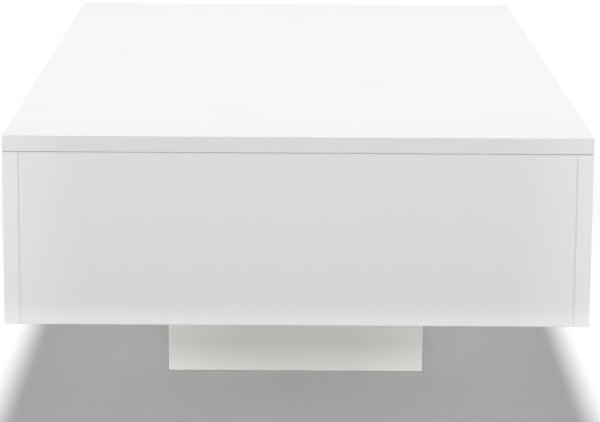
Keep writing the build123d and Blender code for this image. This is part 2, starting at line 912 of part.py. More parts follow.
def save_mechanism():
    """Both lift mechanisms and the tube that joins them."""
    save_handed("base_plate", base_plate())
    save("base_plate_screws", both_ends(plate_screws()))
    save("front_arm_studs", both_ends([front_stud()]))
    save("rear_arm_studs", both_ends([rear_stud()]))
    inner_clip = clip(rear_pivot, arm_inside - clip_play - clip_thickness)
    save("rear_arm_clips", both_ends([inner_clip]))
    save("spring_posts", both_ends([spring_post()]))
    save("stop_pins", both_ends([stop_pin()]))
    save("stop_sleeves", both_ends([stop_sleeve()]))
    save_handed("torsion_spring", torsion_spring())
    save_handed("front_arm", front_arm())
    save("torque_tube", [torque_tube()])
    save("tube_bushes", both_ends([tube_bush()]))
    save("front_arm_bushes", both_ends([pin_bush(front_top, False)]))
    save("spring_pins", both_ends([spring_pin()]))
    save_handed("rear_arm", rear_arm())
    bushes = [pin_bush(rear_pivot, True), pin_bush(rear_top, False)]
    save("rear_arm_bushes_right", bushes)
    save("rear_arm_bushes_left", [mirrored(bush) for bush in bushes])
    save_handed("lid_bracket", lid_bracket())
    save("lid_bracket_screws", both_ends(rail_screws()))
    save("lid_pins", both_ends([top_pin(front_top), top_pin(rear_top)]))
    outer = arm_outside + clip_play
    save("lid_pin_clips", both_ends([clip(front_top, outer), clip(rear_top, outer)]))
    save("lid_panel", [lid_panel()])


os.makedirs("parts", exist_ok=True)
save_carcass()
save_plinth()
save_mechanism()

print("lift angle", round(lift_angle, 3))
for pivot_name, pivot in (("front arm", front_pivot), ("rear arm", rear_pivot), ("lid", front_top)):
    print(pivot_name, "pivot, Y and Z:", round(pivot[0], 3), round(pivot[1], 3))
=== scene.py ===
"""A lift top coffee table in white lacquer: its boards, its lift mechanism and its studio."""

import json
import math

import bmesh
import bpy
from mathutils import Matrix, Vector


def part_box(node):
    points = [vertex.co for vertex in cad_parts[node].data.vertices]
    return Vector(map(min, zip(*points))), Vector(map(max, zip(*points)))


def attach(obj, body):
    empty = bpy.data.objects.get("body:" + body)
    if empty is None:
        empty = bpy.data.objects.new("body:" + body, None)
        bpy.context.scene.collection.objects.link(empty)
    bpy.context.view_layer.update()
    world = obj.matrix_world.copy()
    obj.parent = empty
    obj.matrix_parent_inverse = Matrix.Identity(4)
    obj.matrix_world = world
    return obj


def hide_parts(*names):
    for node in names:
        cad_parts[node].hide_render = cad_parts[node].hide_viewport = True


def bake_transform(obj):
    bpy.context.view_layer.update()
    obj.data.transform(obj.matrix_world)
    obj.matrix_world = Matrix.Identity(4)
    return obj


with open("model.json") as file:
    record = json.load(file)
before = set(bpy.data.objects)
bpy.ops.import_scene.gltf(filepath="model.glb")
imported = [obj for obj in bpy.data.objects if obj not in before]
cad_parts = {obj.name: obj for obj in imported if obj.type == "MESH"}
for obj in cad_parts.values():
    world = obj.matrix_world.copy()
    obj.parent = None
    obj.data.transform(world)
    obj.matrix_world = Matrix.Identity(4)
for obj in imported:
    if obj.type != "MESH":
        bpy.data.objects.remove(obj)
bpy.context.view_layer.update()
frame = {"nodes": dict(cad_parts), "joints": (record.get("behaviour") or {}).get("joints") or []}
nodes = frame["nodes"]

# Pivots of the lift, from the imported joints
pivots = {joint["name"]: Vector(joint["pos_m"]) for joint in frame["joints"]}
front_pivot = pivots["lift_hinge"]
rear_pivot = pivots["rear_arm_hinge_right"]
front_top = pivots["lid_hinge"]
rear_top = front_top + Vector((0, *(rear_pivot - front_pivot).yz))

mm = 0.001
touching = 0.001 * mm  # points this close are one point
facing = 0.99  # a face whose unit normal has at least this much along an axis faces that way


# ---- Shader maths ----


class Value:
    """A shader's number, from a socket or plain, that Python's operators work on."""

    def __init__(self, tree, source):
        self.tree = tree
        self.source = source

    def worked(self, operation, *others):
        """The outcome of a Math node on this value and the others."""
        node = self.tree.nodes.new("ShaderNodeMath")
        node.operation = operation
        for slot, value in zip(node.inputs, (self, *others)):
            value = value.source if isinstance(value, Value) else value
            if isinstance(value, (int, float)):
                slot.default_value = value
            else:
                self.tree.links.new(value, slot)
        return Value(self.tree, node.outputs[0])

    def __add__(self, other):
        return self.worked("ADD", other)

    def __radd__(self, other):
        return self.worked("ADD", other)

    def __sub__(self, other):
        return self.worked("SUBTRACT", other)

    def __rsub__(self, other):
        return Value(self.tree, other).worked("SUBTRACT", self)

    def __mul__(self, other):
        return self.worked("MULTIPLY", other)

    def __rmul__(self, other):
        return self.worked("MULTIPLY", other)

    def __pow__(self, other):
        return self.worked("POWER", other)

    def __abs__(self):
        return self.worked("ABSOLUTE")

    def at_most(self, other):
        return self.worked("MINIMUM", other)

    def at_least(self, other):
        return self.worked("MAXIMUM", other)

    def wave(self):
        return self.worked("SINE")


class Shader:
    """The node tree of one material or of the world."""

    shift_along = (1.0, 1.7, 2.3)  # how far a pattern's shift moves it along X, Y and Z
    rounded = 0.8  # the most that a rounded edge's unit normal has along any axis

    def __init__(self, owner):
        owner.use_nodes = True
        self.tree = owner.node_tree
        self.tree.nodes.clear()

    def node(self, kind, settings=None, inputs=None):
        """A node, with its settings made first and then its sockets' values or links."""
        made = self.tree.nodes.new("ShaderNode" + kind)
        for name, value in (settings or {}).items():
            if name == "stops":
                ramp = made.color_ramp
                while len(ramp.elements) < len(value):
                    ramp.elements.new(1.0)
                for element, (place, colour) in zip(ramp.elements, value):
                    element.position = place
                    element.color = colour
            else:
                setattr(made, name, value)
        for name, value in (inputs or {}).items():
            slot = made.inputs[name]
            if isinstance(value, Value):
                value = value.source
            if isinstance(value, bpy.types.NodeSocket):
                self.tree.links.new(value, slot)
            else:
                slot.default_value = value
        return made

    def value(self, socket):
        return Value(self.tree, socket)

    def parts(self, vector):
        """The X, Y and Z of a vector."""
        return [self.value(out) for out in self.node("SeparateXYZ", inputs={0: vector}).outputs]

    def noise(self, place, scale, detail=2.0, stretch=(1, 1, 1), shift=0.0, turn=0.0):
        """Soft noise about 0, from -1/2 to 1/2, with scale waves to the metre."""
        settled = self.node(
            "Mapping",
            inputs={
                "Vector": place,
                "Location": [shift * share for share in self.shift_along],
                "Rotation": (0, 0, turn),
                "Scale": stretch,
            },
        )
        inputs = {"Vector": settled.outputs[0], "Scale": scale, "Detail": detail}
        return self.value(self.node("TexNoise", inputs=inputs).outputs[0]) - 0.5

    def cells(self, place, scale):
        """How far a point is from the middle of its cell, with scale cells to the metre."""
        made = self.node("TexVoronoi", inputs={"Vector": place, "Scale": scale})
        return self.value(made.outputs["Distance"])

    def rise(self, value, low, high):
        """A share that rises smoothly from 0, at low, to 1, at high."""
        made = self.node(
            "MapRange",
            {"interpolation_type": "SMOOTHSTEP"},
            {"Value": value, "From Min": low, "From Max": high},
        )
        return self.value(made.outputs[0])

    def fall(self, value, low, high):
        """A share that falls smoothly from 1, at low, to 0, at high."""
        return 1 - self.rise(value, low, high)

    def mixed(self, share, first, second):
        """A colour between two, given as red, green and blue or as a link."""
        first, second = ((*c, 1) if isinstance(c, tuple) else c for c in (first, second))
        made = self.node("Mix", {"data_type": "RGBA"}, {0: share, 6: first, 7: second})
        return made.outputs[2]

    def scaled(self, colour, by):
        """A colour made lighter or darker."""
        return self.node("VectorMath", {"operation": "SCALE"}, {0: colour, "Scale": by}).outputs[0]

    def bump(self, height, distance):
        """A normal that leans with a height, whose full step is distance in metres."""
        made = self.node("Bump", inputs={"Height": height, "Distance": distance})
        return made.outputs[0]

    def edges(self, normal):
        """1 on rounded edges and 0 on flat faces that lie along an axis."""
        x, y, z = (abs(part) for part in self.parts(normal))
        return self.fall(x.at_least(y).at_least(z), self.rounded, facing)

    def surface(self, **inputs):
        """The finished surface, with sockets named in Python's way."""
        named = {name.replace("_", " "): value for name, value in inputs.items()}
        bsdf = self.node("BsdfPrincipled", inputs=named)
        self.node("OutputMaterial", inputs={"Surface": bsdf.outputs[0]})


def new_finish(name):
    """A new material with its node tree, Object coordinates and normal."""
    material = bpy.data.materials.new(name)
    shader = Shader(material)
    coordinates = shader.node("TexCoord")
    return material, shader, coordinates.outputs["Object"], coordinates.outputs["Normal"]


# ---- Camera, floor and light ----

camera_place = Vector((2.9193, -0.0102, 0.7346))
camera_pitch = math.radians(11.554)
camera_yaw = math.radians(0.291)
camera_roll = math.radians(0.384)
camera_lens = 158.96
sensor_width = 36.0
sight_limit = 100.0

floor_reach = 9.0
floor_white = 0.958
floor_roughness = 0.9
floor_glow = 0.8
glow_start = 0.7
glow_end = 2.6

key_height = 4.1
key_size = 0.45
key_level = 0.69

# The sky's level at heights given as the sine of the elevation
sky = (
    (0.0, 1.0),
    (0.025, 1.0),
    (0.035, 0.62),
    (0.06, 0.7),
    (0.11, 0.93),
    (0.175, 0.99),
    (0.25, 0.5),
    (0.5, 0.3),
)

# Lamps for the recessed plinth: turn about the table, lowest and highest point, level
plinth_lamp_distance = 1.6
plinth_lamp_width = 1.6
corner_lamp = (0.1, 0.34, 0.078)
end_lamp = (0.47, 0.72, 0.58)
side_lamp = (0.47, 0.72, 0.1)
plinth_lamps = (
    (0, end_lamp),
    (45, corner_lamp),
    (90, side_lamp),
    (135, corner_lamp),
    (180, end_lamp),
    (225, corner_lamp),
    (270, side_lamp),
    (315, corner_lamp),
)


def set_camera():
    """The camera in front of one end of the table, looking slightly down."""
    forward = Vector(
        (
            -math.cos(camera_yaw) * math.cos(camera_pitch),
            math.sin(camera_yaw) * math.cos(camera_pitch),
            -math.sin(camera_pitch),
        )
    )
    level_right = Vector((math.sin(camera_yaw), math.cos(camera_yaw), 0.0))
    level_up = level_right.cross(forward)
    right = level_right * math.cos(camera_roll) + level_up * math.sin(camera_roll)
    up = level_up * math.cos(camera_roll) - level_right * math.sin(camera_roll)
    data = bpy.data.cameras.new("camera")
    data.sensor_width = sensor_width
    data.lens = camera_lens
    data.clip_end = sight_limit
    camera = bpy.data.objects.new("camera", data)
    bpy.context.scene.collection.objects.link(camera)
    turn = Matrix((right, up, -forward)).transposed().to_4x4()
    camera.matrix_world = Matrix.Translation(camera_place) @ turn
    bpy.context.scene.camera = camera


def set_stage():
    """A white studio floor whose far parts glow like a lit backdrop."""
    bpy.ops.object.select_all(action="DESELECT")
    bpy.ops.mesh.primitive_plane_add(size=2 * floor_reach, location=(0, 0, 0))
    floor = bpy.context.object
    floor.name = "studio_floor"
    material, shader, place, _ = new_finish("studio_floor")
    distance = shader.node("VectorMath", {"operation": "LENGTH"}, {0: place}).outputs["Value"]
    glow = shader.rise(distance, glow_start, glow_end) * floor_glow
    shader.surface(
        Base_Color=(floor_white, floor_white, floor_white, 1),
        Roughness=floor_roughness,
        Specular_IOR_Level=0.0,
        Emission_Color=shader.mixed(glow, (0, 0, 0), (1, 1, 1)),
        Emission_Strength=1.0,
    )
    floor.data.materials.append(material)


def lamp_at(name, place, aim, width, height, level):
    """A soft lamp, as wide and high as given, that lights a facing surface at its aim to level."""
    lamp = bpy.data.lights.new(name, "AREA")
    lamp.shape = "RECTANGLE"
    lamp.size = width
    lamp.size_y = height
    reach = Vector(aim) - Vector(place)
    lamp.energy = level * math.pi**2 * reach.length_squared
    made = bpy.data.objects.new(name, lamp)
    bpy.context.scene.collection.objects.link(made)
    turn = reach.to_track_quat("-Z", "Y").to_matrix().to_4x4()
    made.matrix_world = Matrix.Translation(Vector(place)) @ turn
    return made


def set_light():
    """A pale sky, an overhead lamp, and low lamps that light the recessed plinth alone. The light
    of the low lamps doesn't bounce, except from those at the table's two ends."""
    world = bpy.data.worlds.new("studio")
    bpy.context.scene.world = world
    shader = Shader(world)
    _, _, height = shader.parts(shader.node("TexCoord").outputs["Generated"])
    stops = [(place, (level, level, level, 1)) for place, level in sky]
    ramp = shader.node("ValToRGB", {"stops": stops}, {0: height})
    background = shader.node("Background", inputs={"Color": ramp.outputs[0], "Strength": 1.0})
    shader.node("OutputWorld", inputs={"Surface": background.outputs[0]})
    key = lamp_at("overhead", (0, 0, key_height), (0, 0, 0), key_size, key_size, key_level)
    key.data.shape = "DISK"
    plinth = bpy.data.collections.new("plinth")
    for name, node in nodes.items():
        if name.startswith("plinth_panel"):
            plinth.objects.link(node)
    for turn, (low, top, level) in plinth_lamps:
        angle = math.radians(turn)
        away = plinth_lamp_distance
        middle = (low + top) / 2
        place = (math.cos(angle) * away, math.sin(angle) * away, middle)
        lamp = lamp_at(f"low_{turn}", place, (0, 0, middle), plinth_lamp_width, top - low, level)
        lamp.light_linking.receiver_collection = plinth
        if turn % 180:
            lamp.data.cycles.max_bounces = 0


# ---- Finishes ----

half_length, half_width, body_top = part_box("side_panel_rear")[1]
body_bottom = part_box("side_panel_rear")[0].z
joint_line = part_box("side_panel_rear")[0].y  # where an end panel meets a side panel
seam_height = (body_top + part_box("lid_panel")[0].z) / 2  # where the closed lid meets the body
plinth_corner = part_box("plinth_panel_right")[1]

# How much darker or paler the lacquer is, as a share of its colour: the first is wear, the rest
# painted light and shade
wiped_grey = 0.035  # on a level face in daily use
joint_painted_shade = 0.07  # painted shade in the hairline between an end panel and a side panel
seam_painted_shade = 0.03  # painted shade on the faces beside the lid's seam, which widens its shadow line
seam_painted_light = 0.15  # painted light on the rounded edges of that seam, which softens its shadow line
lower_edge_painted_shade = 0.35  # painted shade on the body's lower, rounded edge, which faces the shaded floor
side_painted_light = 0.1  # painted light near the body's long sides
foot_painted_light = 0.15  # painted light near the body's lower edge
plinth_painted_light = 0.12  # painted light near the plinth's corners

# Where those begin and end
painted_light_within = 85.0 * mm  # in from a side or corner
painted_light_past = 10.0 * mm  # the painted light would be strongest this far past it
foot_within = 34.0 * mm  # up from the body's lower edge
foot_blend = 3.0 * mm
joint_core, joint_edge = 0.4 * mm, 1.8 * mm  # from the joint's line
joint_back, joint_front = 1.2 * mm, 0.6 * mm  # in from the body's end
joint_cap = 0.2 * mm  # above the body
seam_core, seam_edge = 1.2 * mm, 2.8 * mm  # from the seam's height
lower_shade_core, lower_shade_edge = 0.7 * mm, 1.2 * mm  # up from the body's lower edge

face_gloss = 0.08  # roughness of a sprayed and polished face
edge_dulled = 0.42  # how much rougher its sprayed edges are
hair_scale = 60.0  # of the hair scratches that wiping leaves, in waves to the metre
scratch_dull = 0.14  # how much rougher they are
scratch_depth = 0.25  # as a share of the relief's full step


def lacquer(name, seed, white, tint, handled):
    """Sprayed white gloss on one board; handled is how much setting down and wiping shows on its
    level faces, which it dulls and greys a little.
    Its colour also holds painted light near the sides, lower edge and plinth corners, and painted
    shade at the joints, seam and lower edge."""
    material, shader, place, normal = new_finish(name)
    along, across, height = shader.parts(place)
    lengthways, sideways, upward = (abs(part) for part in shader.parts(normal))
    upright = shader.fall(upward, low=0.3, high=0.8)
    # Painted shade in the hairline where an end panel meets a side panel
    joint_shade = shader.fall(abs(abs(across) - joint_line), joint_core, joint_edge)
    at_end = shader.rise(abs(along), half_length - joint_back, half_length - joint_front)
    joint_shade = joint_shade * at_end
    joint_shade = joint_shade * shader.fall(height, body_top, body_top + joint_cap)
    broad = shader.noise(place, scale=2.2, shift=seed)
    cloudy = shader.noise(place, scale=14.0, detail=3.0, shift=seed + 5)
    fine = shader.noise(place, scale=160.0, detail=3.0, shift=seed + 9)
    peel = shader.noise(place, scale=330.0, detail=1.0, shift=seed)
    smears = shader.noise(place, scale=9.0, detail=5.0, stretch=(1, 1.8, 1), shift=seed + 2)
    smudge = shader.rise(smears, low=0.02, high=0.3)
    # Painted light: the upright faces are paler near the long sides, the body's lower edge and the
    # plinth's corners
    by_side = shader.rise(abs(across), half_width - painted_light_within, half_width + painted_light_past)
    on_body = shader.rise(height, body_bottom - foot_blend, body_bottom)
    by_foot = shader.fall(height, body_bottom, body_bottom + foot_within) ** 2.0 * on_body
    corner = plinth_corner
    corner_across = shader.rise(abs(across), corner.y - painted_light_within, corner.y + painted_light_past)
    corner_along = shader.rise(abs(along), corner.x - painted_light_within, corner.x + painted_light_past)
    by_corner = (corner_across * lengthways + corner_along * sideways) * (1 - on_body)
    painted_light_shade = by_side * side_painted_light + by_foot * foot_painted_light + by_corner * plinth_painted_light
    painted_light_shade = painted_light_shade * upright - joint_shade * joint_painted_shade
    greyed = (1 - upright) * handled * wiped_grey
    arris = shader.edges(normal)
    # Painted shade beside the lid's seam and painted light on its rounded edges
    seam = shader.fall(abs(height - seam_height), seam_core, seam_edge)
    seam = seam * (arris * (seam_painted_light + seam_painted_shade) - upright * seam_painted_shade)
    # Painted shade along the body's lower, rounded edge
    lower_edge_shade = shader.fall(height, body_bottom + lower_shade_core, body_bottom + lower_shade_edge)
    lower_edge_shade = lower_edge_shade * on_body * arris
    sprayed = broad * 0.012 + cloudy * 0.008 + fine * 0.006
    # The tone holds the lacquer's own variation and wear, and the painted light and shade
    tone = sprayed + painted_light_shade - greyed + 1.0 + seam - lower_edge_shade * lower_edge_painted_shade
    gloss = face_gloss + smudge * (0.03 + 0.05 * handled) + abs(fine) * 0.02 + arris * edge_dulled
    relief = peel * 0.5 + broad * 0.6
    if handled:
        one_way = {"stretch": (0.5, 14, 1), "shift": seed, "turn": 0.35}
        other_way = {"stretch": (12, 0.6, 1), "shift": seed + 3, "turn": -0.5}
        turned = shader.noise(place, hair_scale, detail=1.0, **one_way)
        crossed = shader.noise(place, hair_scale, detail=1.0, **other_way)
        scratches = shader.rise(turned, low=0.24, high=0.29)
        scratches = scratches.at_least(shader.rise(crossed, low=0.25, high=0.29))
        patches = shader.noise(place, scale=6.0, shift=seed + 7)
        scratches = scratches * shader.rise(patches, low=0.0, high=0.2)
        gloss = gloss + scratches * scratch_dull * handled
        relief = relief - scratches * scratch_depth * handled
    shader.surface(
        Base_Color=shader.scaled([white * part for part in tint], tone),
        Roughness=gloss,
        Normal=shader.bump(relief, distance=0.02 * mm),
    )
    return material


def white_plastic(name, seed):
    """Satin moulded caps: a fine eroded texture, paler on their rims."""
    material, shader, place, normal = new_finish(name)
    grain = shader.noise(place, scale=2600.0, shift=seed)
    flow = shader.noise(place, scale=120.0, shift=seed)
    arris = shader.edges(normal)
    white = (0.82, 0.82, 0.805)
    tone = 1.0 + flow * 0.03 + grain * 0.02 + arris * 0.04
    shader.surface(
        Base_Color=shader.scaled(white, tone),
        Roughness=0.4 + grain * 0.12 + flow * 0.08 - arris * 0.1,
        Normal=shader.bump(grain, distance=0.02 * mm),
    )
    return material


ring_waves = 1900.0  # radians of the growth rings' wave to the metre
ring_across = (0.55, 0.83)  # the rings run across X and Y in these shares
ring_sway = 6.0 * mm


def raw_wood(name, seed, pale, dark):
    """Sawn softwood or turned beech: growth rings about an upright axis, and short fibres."""
    material, shader, place, _ = new_finish(name)
    x, y, _ = shader.parts(place)
    sway = shader.noise(place, scale=22.0, stretch=(1, 1, 0.25), shift=seed)
    ring = (x * ring_across[0] + y * ring_across[1] + sway * ring_sway) * ring_waves
    late = shader.rise(ring.wave(), low=-0.1, high=0.95)
    fibre = shader.noise(place, scale=900.0, detail=3.0, stretch=(1, 1, 0.05), shift=seed)
    pores = shader.noise(place, scale=520.0, detail=1.0, stretch=(1, 1, 0.12), shift=seed + 4)
    fleck = shader.rise(pores, low=0.16, high=0.26)
    share = (late * 0.55 + fibre * 0.9 + fleck * 0.35 + 0.1).at_least(0.0).at_most(1.0)
    shader.surface(
        Base_Color=shader.mixed(share, pale, dark),
        Roughness=0.66 + fibre * 0.2,
        Normal=shader.bump(fibre + late * 0.3, distance=0.08 * mm),
    )
    return material


def cast_cam(name, seed):
    """Die cast zinc: dull, pitted, brighter where it rubs."""
    material, shader, place, normal = new_finish(name)
    pits = shader.cells(place, scale=900.0)
    cloud = shader.noise(place, scale=200.0, detail=3.0, shift=seed)
    arris = shader.edges(normal)
    grey = (0.46, 0.465, 0.475)
    shader.surface(
        Base_Color=shader.scaled(grey, 1.0 + cloud * 0.3 + arris * 0.25),
        Metallic=1.0,
        Roughness=0.5 + cloud * 0.2 - arris * 0.14,
        Normal=shader.bump(pits * 0.5 + cloud, distance=0.06 * mm),
    )
    return material


def zinc_steel(name, seed):
    """Bright zinc plate with its faint blue and straw colours, and tumbling marks."""
    material, shader, place, normal = new_finish(name)
    film = shader.rise(shader.noise(place, scale=150.0, shift=seed), low=-0.25, high=0.25)
    mottle = shader.noise(place, scale=1400.0, detail=3.0, shift=seed + 6)
    tumbled = shader.noise(place, scale=700.0, stretch=(1, 0.2, 1.4), shift=seed, turn=0.7)
    marks = shader.rise(tumbled, low=0.1, high=0.25)
    arris = shader.edges(normal)
    blue, straw = (0.58, 0.61, 0.67), (0.68, 0.66, 0.60)
    tone = 1.0 + mottle * 0.1 + arris * 0.1 - marks * 0.04
    shader.surface(
        Base_Color=shader.scaled(shader.mixed(film, blue, straw), tone),
        Metallic=1.0,
        Roughness=0.28 + mottle * 0.09 + marks * 0.05 - arris * 0.05,
        Normal=shader.bump(mottle - marks * 0.4, distance=0.008 * mm),
    )
    return material


coat_black = (0.024, 0.024, 0.026)
steel_grey = (0.42, 0.42, 0.43)
rubbed_black = (0.075, 0.077, 0.08)
rub_radius = 8.0 * mm
rub_edge = 1.2 * mm
groove_waves = 9000.0  # radians of the rubbed grooves' wave to the metre


def black_steel(name, seed, worn_at=()):
    """Black powder coat, a fine dimpled skin. Where it's worn, it's chipped at the edges and rubbed
    in rings around the pivots given."""
    material, shader, place, normal = new_finish(name)
    _, y, z = shader.parts(place)
    dimples = shader.noise(place, scale=1100.0, shift=seed)
    swell = shader.noise(place, scale=60.0, detail=3.0, shift=seed + 3)
    settled = shader.noise(place, scale=35.0, detail=4.0, shift=seed + 8)
    dust = shader.rise(settled, low=0.0, high=0.35)
    coat = shader.scaled(coat_black, 1.0 + swell * 0.3 + dimples * 0.5 + dust * 0.35)
    roughness = 0.44 + dimples * 0.2 + dust * 0.1
    bare = 0.0
    if worn_at:
        flaking = shader.noise(place, scale=420.0, detail=3.0, shift=seed + 1)
        chips = shader.rise(flaking, low=0.12, high=0.2)
        bare = shader.edges(normal) * chips * 0.6
        coat = shader.mixed(bare, coat, steel_grey)
    for pivot in worn_at:
        away = ((y - pivot.y) ** 2.0 + (z - pivot.z) ** 2.0) ** 0.5
        inside = shader.fall(away, rub_radius, rub_radius + rub_edge)
        grooves = (away * groove_waves).wave() * 0.5 + 0.5
        rubbed = inside * (0.45 + 0.55 * grooves)
        coat = shader.mixed(rubbed * 0.6, coat, rubbed_black)
        roughness = roughness - rubbed * 0.16
    shader.surface(
        Base_Color=coat,
        Metallic=bare,
        Roughness=roughness,
        Normal=shader.bump(dimples + swell * 0.5, distance=0.05 * mm),
    )
    return material


def spring_steel(name, seed):
    """Oil tempered wire: blue black, drawn, dark between the turns and burnished outside."""
    material, shader, place, normal = new_finish(name)
    lengthways, _, _ = shader.parts(normal)
    between = shader.rise(abs(lengthways), low=0.35, high=0.95)
    scale = shader.noise(place, scale=900.0, detail=3.0, shift=seed)
    heat = shader.rise(shader.noise(place, scale=90.0, shift=seed + 2), low=-0.2, high=0.2)
    blue, brown = (0.19, 0.20, 0.235), (0.25, 0.235, 0.215)
    tone = 1.15 + scale * 0.5 - between * 0.45
    shader.surface(
        Base_Color=shader.scaled(shader.mixed(heat, blue, brown), tone),
        Metallic=1.0,
        Roughness=0.34 + scale * 0.22 + between * 0.2,
        Normal=shader.bump(scale, distance=0.03 * mm),
    )
    return material


def nylon(name, seed):
    """Milky moulded nylon, a little polished where it runs."""
    material, shader, place, normal = new_finish(name)
    flow = shader.noise(place, scale=170.0, detail=3.0, stretch=(0.4, 1, 1), shift=seed)
    grain = shader.noise(place, scale=1500.0, shift=seed + 5)
    arris = shader.edges(normal)
    milky = (0.78, 0.765, 0.715)
    tone = 1.0 + flow * 0.1 + grain * 0.04 + arris * 0.05
    shader.surface(
        Base_Color=shader.scaled(milky, tone),
        Roughness=0.42 + grain * 0.14 + flow * 0.1 - arris * 0.08,
        Normal=shader.bump(grain + flow, distance=0.03 * mm),
    )
    return material


def black_rubber(name, seed):
    """Matt rubber with a grey bloom."""
    material, shader, place, normal = new_finish(name)
    grain = shader.noise(place, scale=1900.0, detail=3.0, shift=seed)
    cloud = shader.noise(place, scale=260.0, detail=4.0, shift=seed + 1)
    bloom = shader.rise(cloud, low=-0.05, high=0.3)
    arris = shader.edges(normal)
    black, grey = (0.022, 0.022, 0.022), (0.09, 0.09, 0.088)
    shader.surface(
        Base_Color=shader.mixed(bloom * 0.5 + arris * 0.2, black, grey),
        Roughness=0.8 + grain * 0.16,
        Normal=shader.bump(grain, distance=0.08 * mm),
    )
    return material


def clear_bumper(name, seed):
    """Clear soft urethane, faintly hazed by handling."""
    material, shader, place, _ = new_finish(name)
    haze = shader.noise(place, scale=420.0, detail=3.0, shift=seed)
    clear = (0.9, 0.905, 0.89)
    shader.surface(
        Base_Color=shader.scaled(clear, 1.0 + haze * 0.1),
        Roughness=0.2 + abs(haze) * 0.4,
        Transmission_Weight=0.3,
        IOR=1.49,
        Normal=shader.bump(haze, distance=0.03 * mm),
    )
    return material


# ---- Modelling ----

roll_step = 2.4  # radians from one fastener's roll to the next
end_zone = 0.1 * mm  # points this near a fastener's end belong to it


def fresh(add, **settings):
    """A new shape, alone in the selection."""
    bpy.ops.object.select_all(action="DESELECT")
    add(**settings)
    return bpy.context.object


def round_blank(radius, thickness, sides):
    """A plain disc or rod to shape, hanging down from the origin."""
    blank = fresh(
        bpy.ops.mesh.primitive_cylinder_add,
        vertices=sides,
        radius=radius,
        depth=thickness,
        location=(0, 0, -thickness / 2),
    )
    bpy.ops.object.transform_apply(location=True)
    return blank


def pick(piece, kind, test):
    """Selects, in edit mode, the faces, edges or points whose middle and normal pass the test."""
    bpy.context.view_layer.objects.active = piece
    bpy.ops.object.mode_set(mode="EDIT")
    bpy.ops.mesh.select_mode(type=kind)
    bpy.ops.mesh.select_all(action="DESELECT")
    shape = bmesh.from_edit_mesh(piece.data)
    for part in {"VERT": shape.verts, "EDGE": shape.edges, "FACE": shape.faces}[kind]:
        points = [part.co] if kind == "VERT" else [vert.co for vert in part.verts]
        normal = part.normal if kind == "FACE" else None
        if test(sum(points, Vector()) / len(points), normal):
            part.select_set(True)
    shape.select_flush_mode()
    bmesh.update_edit_mesh(piece.data)


def pick_top(piece):
    pick(piece, "FACE", lambda place, normal: normal.z > facing)


def pick_bottom(piece):
    pick(piece, "FACE", lambda place, normal: normal.z < -facing)


def pick_rim(piece, height):
    """Selects the edges around a round piece at one height."""
    pick(piece, "EDGE", lambda place, normal: abs(place.z - height) < touching)


def put_down(piece):
    """Back to object mode, with the piece's faces turned outwards."""
    bpy.context.view_layer.objects.active = piece
    bpy.ops.object.mode_set(mode="EDIT")
    bpy.ops.mesh.select_mode(type="VERT")
    bpy.ops.mesh.select_all(action="SELECT")
    bpy.ops.mesh.remove_doubles(threshold=touching)
    bpy.ops.mesh.normals_make_consistent(inside=False)
    bpy.ops.object.mode_set(mode="OBJECT")


def modified(piece, kind, **settings):
    """The piece with one modifier set and applied."""
    bpy.context.view_layer.objects.active = piece
    made = piece.modifiers.new(kind.lower(), kind)
    for name, value in settings.items():
        setattr(made, name, value)
    bpy.ops.object.modifier_apply(modifier=made.name)
    return piece


def cut(piece, cutter):
    """Takes the cutter's shape out of the piece."""
    modified(piece, "BOOLEAN", object=cutter, operation="DIFFERENCE", solver="EXACT")
    bpy.data.objects.remove(cutter)


def copied(model, turn):
    """A copy of a model with its own mesh, placed by a matrix."""
    copy = model.copy()
    copy.data = model.data.copy()
    copy.data.transform(turn)
    if turn.determinant() < 0:
        copy.data.flip_normals()
    bpy.context.scene.collection.objects.link(copy)
    return copy


def joined(shapes):
    """Several shapes as one piece."""
    bpy.ops.object.select_all(action="DESELECT")
    for shape in shapes:
        shape.select_set(True)
    bpy.context.view_layer.objects.active = shapes[0]
    if len(shapes) > 1:
        bpy.ops.object.join()
    return shapes[0]


def placed(model, places):
    """One piece that holds a copy of the model at each place; the model itself goes."""
    piece = joined([copied(model, place) for place in places])
    bpy.data.objects.remove(model)
    return piece


def finished(piece, name, finish, slot, body, *stands_for, sharp=30.0):
    """The piece named, finished and riding on its body in place of CAD nodes; it shades smooth but
    for edges sharper than sharp, in degrees."""
    bpy.ops.object.select_all(action="DESELECT")
    piece.select_set(True)
    bpy.context.view_layer.objects.active = piece
    bpy.ops.object.transform_apply(location=True, rotation=True, scale=True)
    bpy.ops.object.shade_smooth_by_angle(angle=math.radians(sharp))
    piece.name = name
    piece.data.name = name
    piece.data.materials.clear()
    piece.data.materials.append(finish)
    if body:
        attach(piece, body)
    if stands_for:
        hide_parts(*stands_for)


def solids_in(node):
    """The corner points of each separate solid of a CAD node, in order."""
    shape = bmesh.new()
    shape.from_mesh(nodes[node].data)
    bmesh.ops.remove_doubles(shape, verts=shape.verts, dist=touching)
    waiting = set(shape.verts)
    solids = []
    while waiting:
        group = [waiting.pop()]
        for vert in group:
            near = {edge.other_vert(vert) for edge in vert.link_edges} & waiting
            waiting -= near
            group.extend(near)
        solids.append(sorted(tuple(vert.co) for vert in group))
    shape.free()
    return [[Vector(point) for point in solid] for solid in sorted(solids)]


